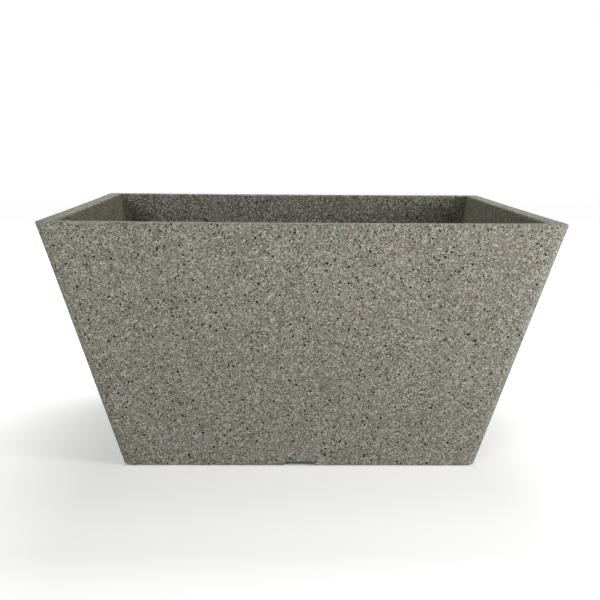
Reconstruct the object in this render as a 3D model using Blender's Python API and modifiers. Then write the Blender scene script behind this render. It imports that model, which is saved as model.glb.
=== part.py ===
"""Tapered square planter: one cast stone-composite tub with four rubber bungs in its drain holes.

Frame: metres, +Z up, the origin on the ground under the middle of the tub. The front faces -Y.
Run with: blender --background --python part.py
"""

import math

import bmesh
import bpy
from mathutils import Matrix

# Driving dimensions of the tub, outside
RIM_WIDTH = 0.600
BASE_WIDTH = 0.430
HEIGHT = 0.304
CORNER_RADIUS = 0.013
RIM_EDGE_RADIUS = 0.002
BASE_EDGE_RADIUS = 0.004

# Inside of the tub: its walls lean as the outside does
WALL = 0.020
FLOOR_THICKNESS = 0.020
INNER_CORNER_RADIUS = 0.012
INNER_FLOOR_RADIUS = 0.010
MOUTH_CHAMFER = 0.0025

# Underside: the tub stands on a skirt round a recess, with a water notch in the middle of each side
SKIRT_WIDTH = 0.024
RECESS_DEPTH = 0.010
RECESS_DRAFT = 0.004
RECESS_CORNER_RADIUS = 0.014
NOTCH_WIDTH = 0.040
NOTCH_HEIGHT = 0.0045
NOTCH_DRAFT = 0.003

# Drain holes and the bungs in them
DRAIN_SPACING = 0.200
DRAIN_RADIUS = 0.0125
DRAIN_SEGMENTS = 48
FIT_GAP = 0.0003
BUNG_FLANGE_RADIUS = 0.0195
BUNG_FLANGE_THICKNESS = 0.0032
BUNG_GRIP_RADIUS = 0.0075
BUNG_GRIP_HEIGHT = 0.0075
BUNG_WAIST_RADIUS = 0.0058
BUNG_TAPER = 0.0010
BUNG_CORE_RADIUS = 0.0070
BUNG_EDGE_RADIUS = 0.0010
BUNG_SHORT_OF_HOLE = 0.0020
BUNG_SEGMENTS = 32

FLOOR_TOP = RECESS_DEPTH + FLOOR_THICKNESS
LEAN = (RIM_WIDTH - BASE_WIDTH) / 2 / HEIGHT
OVERCUT = 0.020


def clear_scene():
    for obj in list(bpy.data.objects):
        bpy.data.objects.remove(obj, do_unlink=True)


def new_collection(name):
    collection = bpy.data.collections.new(name)
    bpy.context.scene.collection.children.link(collection)
    return collection


def new_material(name, colour, roughness):
    material = bpy.data.materials.new(name)
    material.use_nodes = True
    shader = material.node_tree.nodes["Principled BSDF"]
    shader.inputs["Base Color"].default_value = (*colour, 1.0)
    shader.inputs["Roughness"].default_value = roughness
    shader.inputs["Metallic"].default_value = 0.0
    return material


def object_from(name, shape, collection):
    """A new object that takes the bmesh as its mesh."""
    mesh = bpy.data.meshes.new(name)
    shape.to_mesh(mesh)
    shape.free()
    obj = bpy.data.objects.new(name, mesh)
    collection.objects.link(obj)
    return obj


def as_cutter(obj):
    obj.hide_render = True
    obj.display_type = "WIRE"
    return obj


def upright_edges(shape):
    """The edges that run from one level to another, at the corners."""
    return [edge for edge in shape.edges if abs(edge.verts[0].co.z - edge.verts[1].co.z) > 1e-6]


def level_edges(shape, level):
    return [edge for edge in shape.edges if all(abs(v.co.z - level) < 1e-6 for v in edge.verts)]


def round_edges(shape, edges, radius, segments):
    bmesh.ops.bevel(
        shape, geom=edges, offset=radius, segments=segments, profile=0.5, affect="EDGES"
    )


def tapered_block(low_width, low_z, high_width, high_z):
    """A square block whose sides lean from one width to another."""
    shape = bmesh.new()
    bmesh.ops.create_cube(shape, size=1.0)
    for vert in shape.verts:
        width, level = (high_width, high_z) if vert.co.z > 0 else (low_width, low_z)
        vert.co.x *= width
        vert.co.y *= width
        vert.co.z = level
    return shape


def raise_top(shape, grow, rise):
    """Extrudes the top face up by rise, and out by grow on each side."""
    top = max(shape.faces, key=lambda face: face.calc_center_median().z)
    made = bmesh.ops.extrude_discrete_faces(shape, faces=[top])["faces"][0]
    half = max(vert.co.x for vert in made.verts)
    for vert in made.verts:
        vert.co.x *= 1 + grow / half
        vert.co.y *= 1 + grow / half
        vert.co.z += rise


def tub_block(collection):
    """The outside of the tub, with its corners and its top and bottom edges rounded."""
    shape = tapered_block(BASE_WIDTH, 0.0, RIM_WIDTH, HEIGHT)
    round_edges(shape, upright_edges(shape), CORNER_RADIUS, 6)
    round_edges(shape, level_edges(shape, HEIGHT), RIM_EDGE_RADIUS, 3)
    round_edges(shape, level_edges(shape, 0.0), BASE_EDGE_RADIUS, 3)
    return object_from("planter_body", shape, collection)


def tub_cutter(collection):
    """The space inside the tub, with a chamfered mouth."""
    def inner_width(level):
        return BASE_WIDTH + 2 * (LEAN * level - WALL)

    mouth = HEIGHT - MOUTH_CHAMFER
    shape = tapered_block(inner_width(FLOOR_TOP), FLOOR_TOP, inner_width(mouth), mouth)
    raise_top(shape, MOUTH_CHAMFER, MOUTH_CHAMFER)
    raise_top(shape, 0.0, OVERCUT)
    round_edges(shape, upright_edges(shape), INNER_CORNER_RADIUS, 6)
    round_edges(shape, level_edges(shape, FLOOR_TOP), INNER_FLOOR_RADIUS, 4)
    return as_cutter(object_from("cutter_tub", shape, collection))


def recess_cutter(collection):
    """The shallow space under the floor, inside the skirt."""
    low_width = BASE_WIDTH - 2 * SKIRT_WIDTH
    grow = 2 * RECESS_DRAFT * OVERCUT / RECESS_DEPTH
    shape = tapered_block(low_width + grow, -OVERCUT, low_width - 2 * RECESS_DRAFT, RECESS_DEPTH)
    round_edges(shape, upright_edges(shape), RECESS_CORNER_RADIUS, 5)
    return as_cutter(object_from("cutter_recess", shape, collection))


def notch_cutter(collection, name, turn):
    """A flat bar with leaning sides, right across the underside: it cuts a notch in two opposite sides."""
    shape = bmesh.new()
    bmesh.ops.create_cube(shape, size=1.0)
    for vert in shape.verts:
        high = vert.co.z > 0
        vert.co.x *= NOTCH_WIDTH + (-2 * NOTCH_DRAFT if high else 2 * NOTCH_DRAFT)
        vert.co.y *= BASE_WIDTH + 2 * OVERCUT
        vert.co.z = NOTCH_HEIGHT if high else -NOTCH_HEIGHT
    obj = as_cutter(object_from(name, shape, collection))
    obj.rotation_euler.z = turn
    return obj


def drain_cutter(collection, name, place):
    shape = bmesh.new()
    bmesh.ops.create_cone(
        shape,
        cap_ends=True,
        segments=DRAIN_SEGMENTS,
        radius1=DRAIN_RADIUS,
        radius2=DRAIN_RADIUS,
        depth=FLOOR_TOP + 2 * OVERCUT,
        matrix=Matrix.Translation((0.0, 0.0, FLOOR_TOP / 2)),
    )
    obj = as_cutter(object_from(name, shape, collection))
    obj.location = (*place, 0.0)
    return obj


def cut(obj, cutter):
    modifier = obj.modifiers.new(cutter.name, "BOOLEAN")
    modifier.operation = "DIFFERENCE"
    modifier.solver = "EXACT"
    modifier.object = cutter


def arc(centre, radius, start, end, steps):
    """Points on an arc in the profile's plane, its angles in degrees from +X."""
    points = []
    for step in range(steps + 1):
        angle = math.radians(start + (end - start) * step / steps)
        points.append((centre[0] + radius * math.cos(angle), centre[1] + radius * math.sin(angle)))
    return points


def bung_profile():
    """Half of a bung's section, from the middle of the grip down its outside and up the hollow core.

    Heights are from the underside of the flange.
    """
    edge = BUNG_EDGE_RADIUS
    plug_radius = DRAIN_RADIUS - FIT_GAP
    plug_end = -(FLOOR_THICKNESS + FIT_GAP - BUNG_SHORT_OF_HOLE)
    grip_top = BUNG_FLANGE_THICKNESS + BUNG_GRIP_HEIGHT
    core_top = -BUNG_EDGE_RADIUS
    bead = BUNG_GRIP_RADIUS - BUNG_WAIST_RADIUS

    points = [(0.0, grip_top)]
    points += arc((BUNG_GRIP_RADIUS - bead, grip_top - bead), bead, 90, -90, 6)
    points.append((BUNG_WAIST_RADIUS, BUNG_FLANGE_THICKNESS + edge))
    points.append((BUNG_WAIST_RADIUS + edge, BUNG_FLANGE_THICKNESS))
    points += arc((BUNG_FLANGE_RADIUS - edge, BUNG_FLANGE_THICKNESS - edge), edge, 90, 0, 3)
    points.append((BUNG_FLANGE_RADIUS, 0.0))
    points.append((plug_radius, 0.0))
    points.append((plug_radius - BUNG_TAPER, plug_end + edge))
    points.append((plug_radius - BUNG_TAPER - edge, plug_end))
    points.append((BUNG_CORE_RADIUS, plug_end))
    points.append((BUNG_CORE_RADIUS, core_top - edge))
    points.append((BUNG_CORE_RADIUS - edge, core_top))
    points.append((0.0, core_top))
    return points


def drain_bung(collection, name, place):
    """A turned rubber bung. Its origin is on its own axis, at the underside of its flange."""
    shape = bmesh.new()
    verts = [shape.verts.new((x, 0.0, z)) for x, z in bung_profile()]
    for upper, lower in zip(verts, verts[1:]):
        shape.edges.new((upper, lower))
    obj = object_from(name, shape, collection)
    turn = obj.modifiers.new("turned", "SCREW")
    turn.axis = "Z"
    turn.steps = BUNG_SEGMENTS
    turn.render_steps = BUNG_SEGMENTS
    turn.use_merge_vertices = True
    turn.merge_threshold = 0.00005
    turn.use_smooth_shade = True
    obj.location = (*place, FLOOR_TOP + FIT_GAP)
    return obj


def shade_round(obj, angle=35):
    obj.data.shade_smooth()
    obj.data.set_sharp_from_angle(angle=math.radians(angle))


def main():
    clear_scene()
    bpy.context.scene.unit_settings.system = "METRIC"
    planter = new_collection("planter_box")
    cutters = new_collection("cutters")
    stone = new_material("cast_stone_composite", (0.200, 0.188, 0.155), 0.85)
    rubber = new_material("black_rubber", (0.018, 0.018, 0.019), 0.65)

    body = tub_block(planter)
    body.data.materials.append(stone)
    shade_round(body)
    cut(body, tub_cutter(cutters))
    cut(body, recess_cutter(cutters))
    cut(body, notch_cutter(cutters, "cutter_notch_front_back", 0.0))
    cut(body, notch_cutter(cutters, "cutter_notch_sides", math.pi / 2))

    half = DRAIN_SPACING / 2
    corners = {
        "front_left": (-half, -half),
        "front_right": (half, -half),
        "back_left": (-half, half),
        "back_right": (half, half),
    }
    for corner, place in corners.items():
        cut(body, drain_cutter(cutters, "cutter_drain_" + corner, place))
        bung = drain_bung(planter, "drain_bung_" + corner, place)
        bung.data.materials.append(rubber)


main()
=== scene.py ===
"""A tapered square planter of cast granite-effect composite, with rubber bungs in its drain holes."""

import math

import bmesh
import bpy
from mathutils import Matrix, Vector, noise


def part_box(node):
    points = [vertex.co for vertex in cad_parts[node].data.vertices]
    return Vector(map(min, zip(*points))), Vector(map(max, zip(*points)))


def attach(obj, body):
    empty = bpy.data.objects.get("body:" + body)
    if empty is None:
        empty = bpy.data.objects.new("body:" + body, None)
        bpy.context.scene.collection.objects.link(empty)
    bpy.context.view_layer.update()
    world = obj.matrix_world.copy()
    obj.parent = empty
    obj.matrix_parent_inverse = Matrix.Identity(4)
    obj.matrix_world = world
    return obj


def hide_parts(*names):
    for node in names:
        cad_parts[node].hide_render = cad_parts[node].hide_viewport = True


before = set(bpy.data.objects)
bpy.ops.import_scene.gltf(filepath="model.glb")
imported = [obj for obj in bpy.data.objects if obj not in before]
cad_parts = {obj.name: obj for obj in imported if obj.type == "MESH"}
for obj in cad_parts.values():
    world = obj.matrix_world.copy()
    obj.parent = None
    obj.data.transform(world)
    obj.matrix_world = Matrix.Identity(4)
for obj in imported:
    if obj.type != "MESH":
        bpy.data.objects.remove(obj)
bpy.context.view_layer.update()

MM = 0.001

# The tub outside, from the frame
TUB_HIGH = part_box("planter_body")[1]
HEIGHT = TUB_HIGH.z
BASE_HALF = 215 * MM
RIM_EDGE = 2.0 * MM
BASE_EDGE = 4.0 * MM
CORNER = 13 * MM

# The tub inside
WALL = 20 * MM
FLOOR_TOP = 30 * MM
INNER_EDGE = 2.8 * MM
INNER_CORNER = 12 * MM
INNER_FLOOR_EDGE = 10 * MM
FLOOR_INSET = 3 * MM
FLOOR_CORNER = 1.5 * MM

# Underneath
SKIRT = 24 * MM
SKIRT_EDGE = 2 * MM
RECESS_DEPTH = 10 * MM
RECESS_DRAFT = 4 * MM
RECESS_EDGE = 3 * MM
RECESS_CORNER = 14 * MM
RECESS_INSET = 4 * MM
RECESS_TOP_CORNER = 6 * MM
NOTCH_HALF = 20 * MM
NOTCH_HEIGHT = 4.5 * MM
NOTCH_END = 3 * MM

# How far a cast rim settles in the middle of each side: front, right, back, left
RIM_SAG = (0.85 * MM, 0.5 * MM, 0.5 * MM, 0.5 * MM)
# How far the walls are off flat, and over what length
WALL_WAVE = 0.12 * MM
WAVE_LENGTH = 90 * MM

# Drain holes and bungs
DRAIN_RADIUS = 12.5 * MM
DRAIN_MOUTH = 1.5 * MM
BUNG_GAP = 0.3 * MM
BUNG_CORNERS = ("front_left", "front_right", "back_left", "back_right")


def wall_lean():
    """How far the walls lean out for each metre up.

    The frame gives the widest point of the rounded rim, and the rounding takes that a little in from the
    sharp corner. The lean and the corner depend on each other, so they are worked out a few times over.
    """
    lean = (TUB_HIGH.x - BASE_HALF) / HEIGHT
    for _ in range(4):
        tilt = math.atan(lean)
        rim_half = TUB_HIGH.x + RIM_EDGE * ((1 + math.sin(tilt)) / math.cos(tilt) - 1)
        lean = (rim_half - BASE_HALF) / HEIGHT
    return lean


LEAN = wall_lean()
TILT = math.atan(LEAN)


def outside(height):
    """Half the tub's width outside, at a height."""
    return BASE_HALF + LEAN * height


def inside(height):
    """Half the tub's width inside, at a height."""
    return outside(height) - WALL


def arc(centre, radius, start, end, steps):
    """Points on an arc of a section, its angles in radians from the outward direction."""
    across, height = centre
    angles = [start + (end - start) * step / steps for step in range(steps + 1)]
    return [(across + radius * math.cos(a), height + radius * math.sin(a)) for a in angles]


def between(start, end, steps):
    """Points strictly between two points."""
    shares = [step / steps for step in range(1, steps)]
    return [tuple(a + (b - a) * share for a, b in zip(start, end)) for share in shares]


def tub_section():
    """The wall's section as rings: half the width, height, corner radius.

    It runs from the recess under the floor, round the skirt and up the outside, then over the rim and down
    the inside.
    """
    down, up, flat = -math.pi / 2, math.pi / 2, math.pi
    draft = math.atan(RECESS_DRAFT / RECESS_DEPTH)

    skirt_inside = BASE_HALF - SKIRT
    recess_top = (skirt_inside - RECESS_DRAFT - RECESS_EDGE, RECESS_DEPTH - RECESS_EDGE)
    recess = arc(recess_top, RECESS_EDGE, up, draft, 5)
    skirt_round = arc((skirt_inside + SKIRT_EDGE, SKIRT_EDGE), SKIRT_EDGE, flat + draft, flat + up, 5)

    base_middle = outside(BASE_EDGE) - BASE_EDGE / math.cos(TILT)
    base_round = arc((base_middle, BASE_EDGE), BASE_EDGE, down, -TILT, 8)

    rim_height = HEIGHT - RIM_EDGE
    rim_middle = outside(rim_height) - RIM_EDGE / math.cos(TILT)
    rim_round = arc((rim_middle, rim_height), RIM_EDGE, -TILT, up, 8)

    mouth_height = HEIGHT - INNER_EDGE
    mouth_middle = inside(mouth_height) + INNER_EDGE / math.cos(TILT)
    mouth_round = arc((mouth_middle, mouth_height), INNER_EDGE, up, flat - TILT, 8)

    foot_height = FLOOR_TOP + INNER_FLOOR_EDGE
    foot_middle = inside(foot_height) - INNER_FLOOR_EDGE / math.cos(TILT)
    foot_round = arc((foot_middle, foot_height), INNER_FLOOR_EDGE, -TILT, down, 8)

    def rings(points, full_corner, nominal):
        return [(a, h, max(full_corner + a - nominal(h), 1 * MM)) for a, h in points]

    outer = base_round + close_to(base_round[-1], rim_round[0], 26) + rim_round
    inner = mouth_round + close_to(mouth_round[-1], foot_round[0], 22) + foot_round
    rim_flat = between(outer[-1], inner[0], 4)
    skirt_flat = between(skirt_round[-1], base_round[0], 4)

    # One more ring at each end, a little way in on the flat floor, keeps the floor's shading flat.
    section = [(recess[0][0] - RECESS_INSET, RECESS_DEPTH, RECESS_TOP_CORNER)]
    section += rings(recess + skirt_round + skirt_flat, RECESS_CORNER, lambda h: skirt_inside)
    section += rings(outer + rim_flat, CORNER, outside)
    section += rings(inner, INNER_CORNER, inside)
    section.append((inner[-1][0] - FLOOR_INSET, FLOOR_TOP, FLOOR_CORNER))
    return section


def close_to(start, end, steps):
    """Points between two rounded edges, one of them close to each edge to keep the wall's shading flat."""
    edge_gap = 1.2 * MM
    share = edge_gap / math.dist(start, end)
    first = tuple(a + (b - a) * share for a, b in zip(start, end))
    last = tuple(b + (a - b) * share for a, b in zip(start, end))
    return [first] + between(first, last, steps) + [last]


def side_places():
    """Where the columns stand along one side of the base: a millimetre apart at the ends of the notch."""
    notch_middle = [4 * MM, 8 * MM]
    notch_end = [step * MM for step in range(12, 27)]
    start, end = notch_end[-1], BASE_HALF - CORNER
    steps = 26
    rest = [start + (end - start) * step / steps for step in range(1, steps)]
    right = notch_middle + notch_end + rest
    return [-place for place in reversed(right)] + [0.0] + right


def ring_points(half, height, corner):
    """Points round a square with rounded corners, anticlockwise from the front.

    Each comes with the number of its side, and with where it is along that side, from -1 to 1.
    """
    corner_steps = 10
    straight = half - corner
    share = straight / (BASE_HALF - CORNER)
    points = []
    for side in range(4):
        turn = Matrix.Rotation(side * math.pi / 2, 3, "Z")
        for place in side_places():
            along = place * share
            points.append((turn @ Vector((along, -half, height)), side, along / half))
        for step in range(corner_steps + 1):
            angle = -math.pi / 2 + step / corner_steps * math.pi / 2
            x = straight + corner * math.cos(angle)
            y = -straight + corner * math.sin(angle)
            points.append((turn @ Vector((x, y, height)), side, 1.0))
    return points


def settled(point, side, share):
    """Where a point of the casting really is: the rim has sagged a little, the walls are not quite flat."""
    up = point.z / HEIGHT
    sag = RIM_SAG[side] * (1 - share * share) * up**4
    wave = noise.noise(point / WAVE_LENGTH) * WALL_WAVE * math.sin(math.pi * min(max(up, 0), 1))
    outward = Vector((point.x, point.y, 0.0)).normalized()
    return point - outward * abs(wave) - Vector((0, 0, sag))


def notched(point, side, share, half):
    """Lifts the skirt over the water notch in the middle of each side."""
    along = abs(share) * half
    open_share = min(max((NOTCH_HALF - along) / NOTCH_END, 0.0), 1.0)
    soft = open_share * open_share * (3 - 2 * open_share)
    return point + Vector((0, 0, NOTCH_HEIGHT * soft * max(0.0, 1 - point.z / RECESS_DEPTH)))


def lay_rings(shape, section):
    """Rings of points for the whole casting, each point notched and settled."""
    rings = []
    for half, height, corner in section:
        ring = []
        for point, side, share in ring_points(half, height, corner):
            point = settled(notched(point, side, share, half), side, share)
            ring.append(shape.verts.new(point))
        rings.append(ring)
    return rings


def object_of(name, shape):
    """A new object in the scene, with the shape as its mesh."""
    mesh = bpy.data.meshes.new(name)
    shape.to_mesh(mesh)
    shape.free()
    obj = bpy.data.objects.new(name, mesh)
    bpy.context.scene.collection.objects.link(obj)
    return obj


def turned(shape, profile, steps, flute=None):
    """Turns a profile of (radius, height) points round the Z axis. Both of its ends are on the axis."""
    rings = []
    for radius, height in profile[1:-1]:
        ring = []
        for step in range(steps):
            angle = 2 * math.pi * step / steps
            out = radius + (flute(radius, height, angle) if flute else 0.0)
            ring.append(shape.verts.new((out * math.cos(angle), out * math.sin(angle), height)))
        rings.append(ring)
    for ring, following in zip(rings, rings[1:]):
        for step in range(steps):
            after = (step + 1) % steps
            shape.faces.new((ring[step], following[step], following[after], ring[after]))
    for ring, (_, height) in ((rings[0], profile[0]), (rings[-1], profile[-1])):
        middle = shape.verts.new((0, 0, height))
        for step in range(steps):
            shape.faces.new((ring[step], ring[(step + 1) % steps], middle))
    bmesh.ops.recalc_face_normals(shape, faces=shape.faces)


def drain_tool(place):
    """The shape of a drain hole with its rounded mouths, to be cut out of the floor."""
    up, flat = math.pi / 2, math.pi
    beyond = 5 * MM
    wide = DRAIN_RADIUS + DRAIN_MOUTH
    profile = [(0.0, FLOOR_TOP + beyond), (wide, FLOOR_TOP + beyond)]
    profile += arc((wide, FLOOR_TOP - DRAIN_MOUTH), DRAIN_MOUTH, up, flat, 6)
    profile += arc((wide, RECESS_DEPTH + DRAIN_MOUTH), DRAIN_MOUTH, flat, flat + up, 6)
    profile += [(wide, RECESS_DEPTH - beyond), (0.0, RECESS_DEPTH - beyond)]
    shape = bmesh.new()
    turned(shape, profile, steps=64)
    tool = object_of("drain_tool", shape)
    tool.location = (place.x, place.y, 0.0)
    return tool


def bung_place(corner):
    """The middle of a bung, and the lowest and highest points of its box, from the frame."""
    low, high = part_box("drain_bung_" + corner)
    return (low + high) / 2, low, high


def cut_away(obj, tools):
    """Cuts the tools out of the object and throws them away."""
    for tool in tools:
        modifier = obj.modifiers.new("cut", "BOOLEAN")
        modifier.operation = "DIFFERENCE"
        modifier.solver = "EXACT"
        modifier.object = tool
    bpy.context.view_layer.update()
    evaluated = obj.evaluated_get(bpy.context.evaluated_depsgraph_get())
    cut = bpy.data.meshes.new_from_object(evaluated)
    obj.modifiers.clear()
    obj.data = cut
    for tool in tools:
        bpy.data.objects.remove(tool, do_unlink=True)


def cast_tub():
    """The whole casting as one closed shell: skirt, walls, rim and floor, with its drain holes."""
    shape = bmesh.new()
    rings = lay_rings(shape, tub_section())
    columns = len(rings[0])
    for ring, following in zip(rings, rings[1:]):
        for column in range(columns):
            after = (column + 1) % columns
            shape.faces.new((ring[column], ring[after], following[after], following[column]))
    shape.faces.new(rings[0])
    shape.faces.new(list(reversed(rings[-1])))
    bmesh.ops.recalc_face_normals(shape, faces=shape.faces)
    tub = object_of("cast_tub", shape)
    cut_away(tub, [drain_tool(bung_place(corner)[0]) for corner in BUNG_CORNERS])
    tub.data.shade_smooth()
    tub.data.set_sharp_from_angle(angle=math.radians(32))
    return tub


def bung_profile(high, low):
    """A bung's section from the top of its grip down its outside and up its hollow core."""
    up, flat = math.pi / 2, math.pi
    radius = (high.x - low.x) / 2
    flange_low = FLOOR_TOP + BUNG_GAP
    flange_high = flange_low + 3.2 * MM
    grip, waist = 7.5 * MM, 5.8 * MM
    plug = DRAIN_RADIUS - BUNG_GAP
    core = 7 * MM

    # The roundings and chamfers, from the largest to the smallest
    bead = grip - waist
    neck = 1.4 * MM
    soft = 1.0 * MM
    shoulder = 0.6 * MM
    lip = 0.5 * MM
    chamfer = 0.3 * MM

    # A dished top and the rounded bead that the fingers hold
    dish = 0.35 * MM
    profile = [(0.0, high.z), (2.5 * MM, high.z - dish), (4.2 * MM, high.z - dish)]
    profile += arc((grip - bead, high.z - bead), bead, up, -up, 10)
    profile += arc((waist + neck, flange_high + neck), neck, flat, flat + up, 6)

    # The flange, with a groove round its top
    groove_inner, groove_outer, groove_side = 13.2 * MM, 15.4 * MM, 0.4 * MM
    profile += [(groove_inner, flange_high), (groove_inner + groove_side, flange_high - dish)]
    profile += [(groove_outer - groove_side, flange_high - dish), (groove_outer, flange_high)]
    profile += arc((radius - soft, flange_high - soft), soft, up, 0.0, 6)
    profile += [(radius, flange_low + chamfer), (radius - chamfer, flange_low)]

    # The plug, with three sealing rings
    profile += [(plug + shoulder, flange_low), (plug, flange_low - shoulder)]
    foot, crest = plug - 0.7 * MM, plug - 0.05 * MM
    half_foot, half_crest = 1.6 * MM, 0.3 * MM
    taper = 0.1 * MM
    for drop in (5.0 * MM, 9.5 * MM, 14.0 * MM):
        middle = flange_low - drop
        profile += [(foot, middle + half_foot), (crest, middle + half_crest)]
        profile += [(crest, middle - half_crest), (foot - taper, middle - half_foot)]
    tip = plug - 1.0 * MM
    profile += arc((tip - soft, low.z + soft), soft, 0.0, -up, 5)

    # The hollow core, open below
    profile += arc((core + lip, low.z + lip), lip, -up, -flat, 4)
    profile += arc((core - soft, flange_low - 2 * soft), soft, 0.0, up, 5)
    profile.append((0.0, flange_low - soft))
    return profile


def moulded_bung(corner):
    """A rubber bung: a fluted grip on a flange, over a hollow plug with sealing rings."""
    middle, low, high = bung_place(corner)
    flutes = 12
    flute_depth = 0.35 * MM
    grip_low = high.z - 4 * MM
    grip_inner = 6.5 * MM

    def flute(radius, height, angle):
        on_grip = height > grip_low and radius > grip_inner
        return -flute_depth * (0.5 + 0.5 * math.cos(flutes * angle)) if on_grip else 0.0

    shape = bmesh.new()
    turned(shape, bung_profile(high, low), steps=96, flute=flute)
    bung = object_of("rubber_bung_" + corner, shape)
    bung.data.transform(Matrix.Translation((middle.x, middle.y, 0.0)))
    bung.data.shade_smooth()
    bung.data.set_sharp_from_angle(angle=math.radians(40))
    return bung


def colour(hex_code):
    """The linear colour of an sRGB hex value."""
    parts = [int(hex_code[i : i + 2], 16) / 255 for i in (1, 3, 5)]
    linear = [c / 12.92 if c <= 0.04045 else ((c + 0.055) / 1.055) ** 2.4 for c in parts]
    return (*linear, 1.0)


def add(tree, kind, sockets=None, **settings):
    """Adds a shader node. A socket gets a value, or is linked when it is given another node's output."""
    node = tree.nodes.new("ShaderNode" + kind)
    for name, value in settings.items():
        setattr(node, name, value)
    for socket, value in (sockets or {}).items():
        if isinstance(value, bpy.types.NodeSocket):
            tree.links.new(value, node.inputs[socket])
        else:
            node.inputs[socket].default_value = value
    return node


def fresh_material(name):
    """A new material and its empty node tree."""
    material = bpy.data.materials.new(name)
    material.use_nodes = True
    tree = material.node_tree
    tree.nodes.clear()
    return material, tree


def scattered(tree, where, spacing, share, radius, softness):
    """Round grains scattered through the casting, as a cut face shows them, with sizes in millimetres.

    There is at most one grain in each cell of the spacing. A share of the cells has one, of any radius up
    to the given one. Gives how much of a grain there is at a point, and three random numbers for each grain.
    A cell's own colour is tied to where its grain sits, and would line the grains up, so it is shuffled.
    """
    cell = add(tree, "TexVoronoi", {"Vector": where, "Scale": 1 / spacing})
    shuffled = add(tree, "TexWhiteNoise", {"Vector": cell.outputs["Color"]}).outputs["Color"]
    chance = add(tree, "SeparateColor", {0: shuffled}).outputs
    grain = add(
        tree,
        "MapRange",
        {"Value": chance[0], "From Min": 1 - share, "From Max": 1.0, "To Max": radius / spacing},
        clamp=False,
    ).outputs[0]
    depth = add(tree, "Math", {0: grain, 1: cell.outputs["Distance"]}, operation="SUBTRACT").outputs[0]
    inside_grain = add(tree, "MapRange", {"Value": depth, "From Max": softness / spacing}).outputs[0]
    return inside_grain, chance


def laid_over(tree, ground, inside_grain, chance, dark, light):
    """Grains over a ground colour, each somewhere between a dark and a light colour."""
    tones = {"Fac": chance[1], "Color1": colour(dark), "Color2": colour(light)}
    tone = add(tree, "MixRGB", tones).outputs[0]
    return add(tree, "MixRGB", {"Fac": inside_grain, "Color1": ground, "Color2": tone}).outputs[0]


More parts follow.
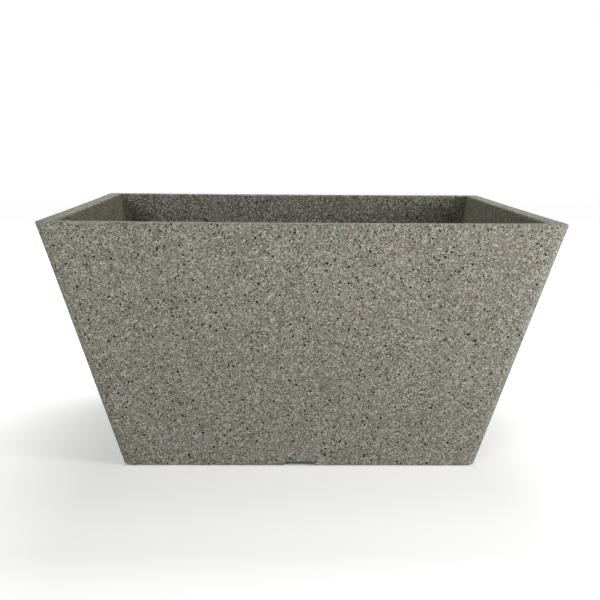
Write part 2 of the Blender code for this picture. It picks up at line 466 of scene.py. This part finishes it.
def granite_composite():
    """Cast composite of granite chippings in an olive grey binder, washed back to a matt open face.

    What it gives the eye: a fine, even speckle of pale broken chips in a warm darker ground, with round
    black mica grains, an odd rust-red one, soft patches a hand across, and no gloss. Sizes are millimetres.
    """
    material, tree = fresh_material("granite_composite_cast_matt")
    place = add(tree, "TexCoord").outputs["Object"]
    mm = add(tree, "VectorMath", {0: place, "Scale": 1 / MM}, operation="SCALE").outputs[0]

    # Chips are broken, not round, so their outlines are pushed about on the scale of one chip.
    shove = add(tree, "TexNoise", {"Vector": mm, "Scale": 1 / 1.25, "Detail": 1.0}).outputs["Color"]
    centred = add(tree, "VectorMath", {0: shove, 1: (0.5, 0.5, 0.5)}, operation="SUBTRACT").outputs[0]
    pushed = add(tree, "VectorMath", {0: centred, "Scale": 1.6}, operation="SCALE").outputs[0]
    broken = add(tree, "VectorMath", {0: mm, 1: pushed}, operation="ADD").outputs[0]

    # Only the outside and the rim were washed back. Inside the tub the binder is drawn darker, partly for
    # that and partly as painted shade inside the tub.
    side = add(tree, "VectorMath", {0: mm}, operation="ABSOLUTE").outputs[0]
    reach = add(tree, "SeparateXYZ", {0: side}).outputs
    out = add(tree, "Math", {0: reach[0], 1: reach[1]}, operation="MAXIMUM").outputs[0]
    upright = add(tree, "Math", {0: reach[2], 1: -LEAN, 2: out}, operation="MULTIPLY_ADD").outputs[0]
    inner_face = (BASE_HALF - WALL) / MM
    inner = add(
        tree, "MapRange", {"Value": upright, "From Min": inner_face + 3, "From Max": inner_face + 1}
    ).outputs[0]
    inside_binder_shade = add(tree, "MapRange", {"Value": inner, "To Min": 1.0, "To Max": 0.68}).outputs[0]

    # The left and right walls inside are drawn darker with an olive tint, as painted shade for walls that
    # take little direct light. The floor is not.
    on_wall = add(
        tree, "MapRange", {"Value": upright, "From Min": inner_face - 14, "From Max": inner_face - 6}
    ).outputs[0]
    inner_wall = add(tree, "Math", {0: on_wall, 1: inner}, operation="MULTIPLY").outputs[0]
    sideways = add(tree, "Math", {0: reach[0], 1: reach[1]}, operation="SUBTRACT").outputs[0]
    left_or_right = add(tree, "MapRange", {"Value": sideways, "From Min": -3.0, "From Max": 3.0}).outputs[0]
    side_wall_shade = add(tree, "Math", {0: left_or_right, 1: inner_wall}, operation="MULTIPLY").outputs[0]

    # Painted shade in the corners of the other two inner walls, for the shadow that the side walls cast
    # there:
    # a soft ragged band that is narrow at the rim and widest from a few centimetres down.
    top = HEIGHT / MM
    corner_shade_width, corner_shade_drop, corner_shade_rag = 38.0, 40.0, 40.0
    widening = {
        "Value": reach[2],
        "From Min": top - corner_shade_drop,
        "From Max": top,
        "To Min": corner_shade_width,
        "To Max": 0.0,
    }
    even_corner_shade = add(tree, "MapRange", widening).outputs[0]
    ragged = add(tree, "TexNoise", {"Vector": mm, "Scale": 1 / 22, "Detail": 3.0}).outputs["Fac"]
    wide = add(tree, "Math", {0: ragged, 1: corner_shade_rag, 2: even_corner_shade}, operation="MULTIPLY_ADD").outputs[0]
    from_edge = add(tree, "Math", {0: wide, 1: sideways}, operation="ADD").outputs[0]
    corner_shaded = add(
        tree, "MapRange", {"Value": from_edge, "From Max": corner_shade_width}, interpolation_type="SMOOTHSTEP"
    ).outputs[0]
    other_wall = add(tree, "Math", {0: inner_wall, 1: side_wall_shade}, operation="SUBTRACT").outputs[0]
    painted_corner_shade = add(tree, "Math", {0: corner_shaded, 1: other_wall}, operation="MULTIPLY").outputs[0]

    # The walls outside are drawn a shade darker and the inside lighter, painted light that evens out how the
    # lamps light them. The flat of the rim is drawn paler, a painted highlight for the sheen it catches at a
    # low angle.
    rim_highlight_ramp = {"Value": reach[2], "From Min": top - 2.5, "From Max": top - 1, "To Min": 1.0, "To Max": 1.6}
    painted_rim_highlight = add(tree, "MapRange", rim_highlight_ramp).outputs[0]
    painted_light_balance = add(tree, "MapRange", {"Value": inner, "To Min": 0.83, "To Max": 1.2}).outputs[0]
    shade = add(tree, "Math", {0: painted_rim_highlight, 1: painted_light_balance}, operation="MULTIPLY").outputs[0]

    # The binder is richer in some patches, a hand's width across.
    patch = add(tree, "TexNoise", {"Vector": mm, "Scale": 1 / 60, "Detail": 3.0}).outputs["Fac"]
    patchiness = add(tree, "MapRange", {"Value": patch, "From Min": 0.3, "From Max": 0.7}).outputs[0]
    binder = add(
        tree, "MixRGB", {"Fac": patchiness, "Color1": colour("#747064"), "Color2": colour("#7b776a")}
    ).outputs[0]
    # The binder inside the tub takes its painted shade here.
    binder = add(tree, "VectorMath", {0: binder, "Scale": inside_binder_shade}, operation="SCALE").outputs[0]

    # From the finest grit to the broad flakes, then the dark grains that lie over them
    grit, grit_chance = scattered(tree, broken, spacing=1.3, share=0.57, radius=1.0, softness=0.1)
    chip, chip_chance = scattered(tree, broken, spacing=3.1, share=0.7, radius=2.1, softness=0.12)
    flake, flake_chance = scattered(tree, broken, spacing=6.5, share=0.22, radius=2.6, softness=0.15)
    dust, dust_chance = scattered(tree, mm, spacing=1.45, share=0.36, radius=1.1, softness=0.1)
    mica, mica_chance = scattered(tree, mm, spacing=5.6, share=0.85, radius=1.6, softness=0.08)
    rust, rust_chance = scattered(tree, mm, spacing=19.0, share=0.9, radius=1.4, softness=0.3)

    body = laid_over(tree, binder, grit, grit_chance, "#95928a", "#c6c4bd")
    body = laid_over(tree, body, chip, chip_chance, "#8a877d", "#a3a199")
    body = laid_over(tree, body, flake, flake_chance, "#8f8c84", "#9c9a92")

    # The stone's own faint tints: pinkish, bluish and greenish chips.
    tint = add(
        tree, "CombineColor", {0: chip_chance[1], 1: chip_chance[2], 2: grit_chance[2]}
    ).outputs[0]
    tinting = {"Fac": 0.05, "Color1": body, "Color2": tint}
    body = add(tree, "MixRGB", tinting, blend_type="OVERLAY").outputs[0]
    body = laid_over(tree, body, dust, dust_chance, "#120f0b", "#3e3830")
    body = laid_over(tree, body, mica, mica_chance, "#060605", "#0d0d0b")
    body = laid_over(tree, body, rust, rust_chance, "#5b2018", "#743c30")

    # Sand in the binder: its third of a millimetre is too fine to show, so it is drawn twice as coarse.
    sand = add(tree, "TexNoise", {"Vector": mm, "Scale": 1 / 0.65, "Detail": 2.0}).outputs["Fac"]
    sandy = add(
        tree, "MapRange", {"Value": sand, "From Min": 0.3, "From Max": 0.7, "To Min": 0.55, "To Max": 1.45}
    ).outputs[0]
    body = add(tree, "VectorMath", {0: body, "Scale": sandy}, operation="SCALE").outputs[0]
    # The painted light on the inside and outside and the rim's painted highlight are laid on here.
    body = add(tree, "VectorMath", {0: body, "Scale": shade}, operation="SCALE").outputs[0]

    # The painted shade on the inner side walls and in the corners of the other two darkens what is under it,
    # as a thin film does.
    clear, olive, corner_shade_grey = colour("#ffffff"), colour("#c4c0aa"), colour("#c2c2ba")
    film = add(tree, "MixRGB", {"Fac": side_wall_shade, "Color1": clear, "Color2": olive}).outputs[0]
    film = add(tree, "MixRGB", {"Fac": painted_corner_shade, "Color1": film, "Color2": corner_shade_grey}).outputs[0]
    body = add(tree, "VectorMath", {0: body, 1: film}, operation="MULTIPLY").outputs[0]

    # The washed binder lies a hair below the chips, and mica has fallen out and left pits.
    proud = add(tree, "Math", {0: chip, 1: 0.6, 2: sand}, operation="MULTIPLY_ADD").outputs[0]
    pitted = add(tree, "Math", {0: mica, 1: -1.0, 2: proud}, operation="MULTIPLY_ADD").outputs[0]
    bump = add(tree, "Bump", {"Height": pitted, "Strength": 0.4, "Distance": 0.1 * MM}).outputs[0]

    # The broken faces of the chips are a little smoother than the binder.
    rough = add(tree, "MapRange", {"Value": chip, "To Min": 0.88, "To Max": 0.74}).outputs[0]
    shader = add(
        tree,
        "BsdfPrincipled",
        {"Base Color": body, "Roughness": rough, "Normal": bump, "IOR": 1.5, "Specular IOR Level": 0.35},
    )
    add(tree, "OutputMaterial", {"Surface": shader.outputs[0]})
    return material


def bung_rubber():
    """Black rubber, matt from the mould and fine in grain, with grey bloom in patches some 8 mm across."""
    material, tree = fresh_material("black_rubber_moulded")
    place = add(tree, "TexCoord").outputs["Object"]
    mm = add(tree, "VectorMath", {0: place, "Scale": 1 / MM}, operation="SCALE").outputs[0]
    grain = add(tree, "TexNoise", {"Vector": mm, "Scale": 1 / 0.4, "Detail": 4.0}).outputs["Fac"]
    bloom = add(tree, "TexNoise", {"Vector": mm, "Scale": 0.12, "Detail": 3.0}).outputs["Fac"]
    dusty = add(
        tree, "MapRange", {"Value": bloom, "From Min": 0.45, "From Max": 0.75, "To Max": 0.5}
    ).outputs[0]
    body = add(
        tree, "MixRGB", {"Fac": dusty, "Color1": colour("#1b1b1c"), "Color2": colour("#3a3936")}
    ).outputs[0]
    rough = add(tree, "MapRange", {"Value": grain, "To Min": 0.55, "To Max": 0.8}).outputs[0]
    bump = add(tree, "Bump", {"Height": grain, "Strength": 0.3, "Distance": 0.06 * MM}).outputs[0]
    finish = {"Base Color": body, "Roughness": rough, "Normal": bump, "IOR": 1.52}
    shader = add(tree, "BsdfPrincipled", finish)
    add(tree, "OutputMaterial", {"Surface": shader.outputs[0]})
    return material


def studio_floor():
    """A wide white floor just under the planter, lit a little from below as a light table is."""
    shape = bmesh.new()
    bmesh.ops.create_grid(shape, x_segments=1, y_segments=1, size=30.0)
    floor = object_of("studio_floor", shape)
    floor.location.z = -0.1 * MM
    material, tree = fresh_material("white_light_table")
    place = add(tree, "TexCoord").outputs["Object"]
    across = add(tree, "VectorMath", {0: place}, operation="ABSOLUTE").outputs[0]
    reach = add(tree, "SeparateXYZ", {0: across}).outputs
    out = add(tree, "Math", {0: reach[0], 1: reach[1]}, operation="MAXIMUM").outputs[0]

    # Each glow: how far from the middle it starts and how far it is full, how strong, and how it grows.
    # The first is what comes out from under the planter's edge, the others even out the floor behind.
    glows = (
        (BASE_HALF - 10 * MM, BASE_HALF + 4 * MM, 0.4, "SMOOTHSTEP"),
        (0.6, 2.5, 0.45, "LINEAR"),
        (2.5, 8.0, 0.1, "LINEAR"),
    )
    glow = 0.0
    for start, full, strength, growth in glows:
        rise = {"Value": out, "From Min": start, "From Max": full, "To Max": strength}
        step = add(tree, "MapRange", rise, interpolation_type=growth).outputs[0]
        glow = add(tree, "Math", {0: step, 1: glow}, operation="ADD").outputs[0]
    finish = {
        "Base Color": colour("#f4f4f3"),
        "Roughness": 0.9,
        "Specular IOR Level": 0.0,
        "Emission Color": colour("#ffffff"),
        "Emission Strength": glow,
    }
    shader = add(tree, "BsdfPrincipled", finish)
    add(tree, "OutputMaterial", {"Surface": shader.outputs[0]})
    floor.data.materials.append(material)


def softbox(name, turn, rise, distance, size, power):
    """A square lamp aimed at the planter. Its turn, from the front to the right, and rise are in degrees."""
    lamp = bpy.data.lights.new(name, "AREA")
    lamp.shape = "SQUARE"
    lamp.size = size
    lamp.energy = power
    obj = bpy.data.objects.new(name, lamp)
    turn, rise = math.radians(turn), math.radians(rise)
    way = Vector((math.sin(turn) * math.cos(rise), -math.cos(turn) * math.cos(rise), math.sin(rise)))
    obj.location = way * distance
    aim = Vector((0, 0, HEIGHT / 2))
    obj.rotation_euler = (obj.location - aim).to_track_quat("Z", "Y").to_euler()
    obj.visible_camera = False
    bpy.context.scene.collection.objects.link(obj)


def studio_light():
    """Large softboxes high behind and overhead for the rim, and two lower ones in front and at the right."""
    softbox("back_softbox", turn=180, rise=50, distance=2.6, size=1.3, power=46)
    softbox("overhead_softbox", turn=135, rise=78, distance=2.6, size=1.3, power=8)
    softbox("front_softbox", turn=-20, rise=15, distance=2.45, size=0.7, power=16)
    softbox("right_softbox", turn=55, rise=16, distance=1.5, size=0.5, power=12.5)

    # The walls of the studio look pure white and give only a little light.
    world = bpy.data.worlds.new("white_studio")
    bpy.context.scene.world = world
    world.use_nodes = True
    tree = world.node_tree
    tree.nodes.clear()
    lit = add(tree, "Background", {"Color": colour("#ffffff"), "Strength": 0.1})
    seen = add(tree, "Background", {"Color": colour("#ffffff"), "Strength": 1.0})
    path = add(tree, "LightPath").outputs["Is Camera Ray"]
    mixed = add(tree, "MixShader", {0: path, 1: lit.outputs[0], 2: seen.outputs[0]})
    add(tree, "OutputWorld", {"Surface": mixed.outputs[0]})
    bpy.context.scene.view_settings.view_transform = "Standard"


def camera():
    """A slightly long lens just above the rim, a little to the left of the planter's middle."""
    lens = bpy.data.cameras.new("camera")
    lens.sensor_width = 36
    lens.lens = 68.07
    obj = bpy.data.objects.new("camera", lens)
    stand = Vector((-0.0326, -1.559, 0.4038))
    turn, tilt, roll = math.radians(-1.329), math.radians(90 - 8.406), math.radians(0.447)
    aimed = Matrix.Rotation(turn, 4, "Z") @ Matrix.Rotation(tilt, 4, "X") @ Matrix.Rotation(roll, 4, "Z")
    obj.matrix_world = Matrix.Translation(stand) @ aimed
    bpy.context.scene.collection.objects.link(obj)
    bpy.context.scene.camera = obj


camera()
studio_light()
studio_floor()

tub = cast_tub()
tub.data.materials.clear()
tub.data.materials.append(granite_composite())
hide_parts("planter_body")
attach(tub, "planter")

rubber = bung_rubber()
for corner in BUNG_CORNERS:
    bung = moulded_bung(corner)
    bung.data.materials.append(rubber)
    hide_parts("drain_bung_" + corner)
    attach(bung, "bung_" + corner)
